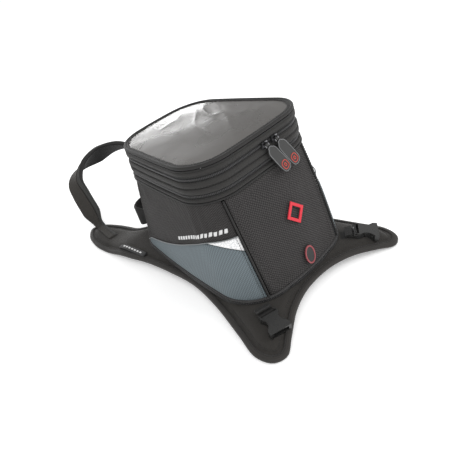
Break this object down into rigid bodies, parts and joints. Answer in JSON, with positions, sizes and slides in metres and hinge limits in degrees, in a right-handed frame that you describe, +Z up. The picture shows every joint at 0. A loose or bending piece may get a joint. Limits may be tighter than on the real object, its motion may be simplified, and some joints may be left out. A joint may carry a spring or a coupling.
{
  "type": "motorcycle tank bag",
  "caption": "Expandable motorcycle tank bag with clear map lid on a winged harness pad, with zip closures, headstock strap and strap buckles.",
  "frame": {"origin": "the middle of the pad's flat underside, where it sits on the tank, under the bag", "axes": "+Y towards the front of the motorcycle, along the pad's length; +Z up, away from the tank; +X to the rider's right"},
  "size_m": [0.3318, 0.6956, 0.26],
  "materials": {
    "body_fabric": "woven",
    "pad_fabric": "woven",
    "black_trim": "woven",
    "grey_mesh": "woven",
    "reflective": "semi-gloss",
    "red_rubber": "satin",
    "black_rubber": "matte",
    "black_plastic": "satin",
    "dark_metal": "satin",
    "clear_film": "glossy",
    "foam": "matte"
  },
  "bodies": {
    "pad": {"pad_top_cover": "pad_fabric", "pad_foam_core": "foam", "pad_grip_underside": "black_rubber", "pad_edge_binding": "black_trim", "base_zip_pad_tape": "black_trim", "wing_label": "black_rubber", "left_strap_anchor": "pad_fabric", "right_strap_anchor": "pad_fabric", "left_buckle_tab": "black_trim", "right_buckle_tab": "black_trim"},
    "bag": {"rear_panel": "body_fabric", "front_panel": "body_fabric", "left_side_panel": "body_fabric", "right_side_panel": "body_fabric", "left_mesh_insert": "grey_mesh", "right_mesh_insert": "grey_mesh", "left_reflective_triangle": "reflective", "right_reflective_triangle": "reflective", "left_corner_piping": "black_trim", "right_corner_piping": "black_trim", "left_handle_anchor": "black_trim", "right_handle_anchor": "black_trim", "floor_panel": "black_trim", "floor_stiffener": "black_plastic", "base_zip_coil": "black_trim", "base_zip_bag_tape": "black_trim", "expansion_zip_coil": "black_plastic", "expansion_zip_lower_tape": "black_trim", "lower_collar": "body_fabric", "shoulder_piping": "black_trim", "carry_handle": "black_trim", "rear_emblem": "red_rubber", "rear_badge_ring": "red_rubber", "rear_badge_centre": "black_rubber"},
    "collar": {"upper_collar": "body_fabric", "main_zip_coil": "black_plastic", "main_zip_lower_tape": "black_trim", "expansion_zip_upper_tape": "black_trim", "lid_hinge_strip": "body_fabric", "expansion_gusset": "black_trim"},
    "lid": {"lid_binding": "black_trim", "lid_band": "body_fabric", "lid_frame": "black_trim", "map_window": "clear_film", "map_pocket_backing": "foam", "main_zip_upper_tape": "black_trim"},
    "left_slider": {"left_slider": "dark_metal"},
    "left_puller": {"left_puller": "black_rubber", "left_puller_inlay": "red_rubber"},
    "right_slider": {"right_slider": "dark_metal"},
    "right_puller": {"right_puller": "black_rubber", "right_puller_inlay": "red_rubber"},
    "expansion_slider": {"expansion_zip_slider": "dark_metal"},
    "expansion_puller": {"expansion_zip_puller": "black_rubber"},
    "base_slider": {"base_zip_slider": "dark_metal"},
    "base_puller": {"base_zip_puller": "black_rubber"},
    "left_buckle": {"left_buckle_socket": "black_plastic"},
    "right_buckle": {"right_buckle_socket": "black_plastic"},
    "headstock_strap": {"headstock_strap_cover": "pad_fabric", "headstock_strap_lining": "black_trim"}
  },
  "joints": [
    {"name": "bag_lift", "type": "slide", "parent": "pad", "child": "bag", "axis": [0, 0, 1], "range_m": [0, 0.12]},
    {"name": "expansion", "type": "slide", "parent": "bag", "child": "collar", "axis": [0, 0, 1], "range_m": [0, 0.055]},
    {"name": "lid_hinge", "type": "hinge", "parent": "collar", "child": "lid", "pos_m": [0, 0.11089, 0.2012], "axis": [-1, 0, 0], "range_deg": [0, 110]},
    {"name": "left_slider_travel", "type": "slide", "parent": "collar", "child": "left_slider", "axis": [1, 0, 0], "range_m": [-0.055, 0]},
    {"name": "right_slider_travel", "type": "slide", "parent": "collar", "child": "right_slider", "axis": [1, 0, 0], "range_m": [0, 0.03]},
    {"name": "left_puller_swing", "type": "hinge", "parent": "left_slider", "child": "left_puller", "pos_m": [0.0057, -0.15923, 0.222], "axis": [0.9063, 0, 0.4226], "range_deg": [-95, 0]},
    {"name": "right_puller_swing", "type": "hinge", "parent": "right_slider", "child": "right_puller", "pos_m": [0.0265, -0.15909, 0.222], "axis": [0.9063, 0, 0.4226], "range_deg": [-95, 0]},
    {"name": "expansion_slider_travel", "type": "slide", "parent": "bag", "child": "expansion_slider", "axis": [1, 0, 0], "range_m": [0, 0.036]},
    {"name": "expansion_puller_swing", "type": "hinge", "parent": "expansion_slider", "child": "expansion_puller", "pos_m": [-0.018, 0.11798, 0.1794], "axis": [1, 0, 0], "range_deg": [0, 100]},
    {"name": "base_slider_travel", "type": "slide", "parent": "bag", "child": "base_slider", "axis": [1, 0, 0], "range_m": [0, 0.05]},
    {"name": "base_puller_swing", "type": "hinge", "parent": "base_slider", "child": "base_puller", "pos_m": [-0.026, 0.16292, 0.0129], "axis": [0, 0, 1], "range_deg": [-100, 0]},
    {"name": "left_buckle_swing", "type": "hinge", "parent": "pad", "child": "left_buckle", "pos_m": [-0.11, -0.207, 0.01421], "axis": [-0.9613, 0.2756, 0], "range_deg": [0, 75]},
    {"name": "right_buckle_swing", "type": "hinge", "parent": "pad", "child": "right_buckle", "pos_m": [0.11, -0.207, 0.01421], "axis": [-0.766, -0.6428, 0], "range_deg": [0, 75]},
    {"name": "headstock_strap_fold", "type": "hinge", "parent": "pad", "child": "headstock_strap", "pos_m": [0, 0.325, -0.003], "axis": [1, 0, 0], "range_deg": [-40, 45]}
  ]
}
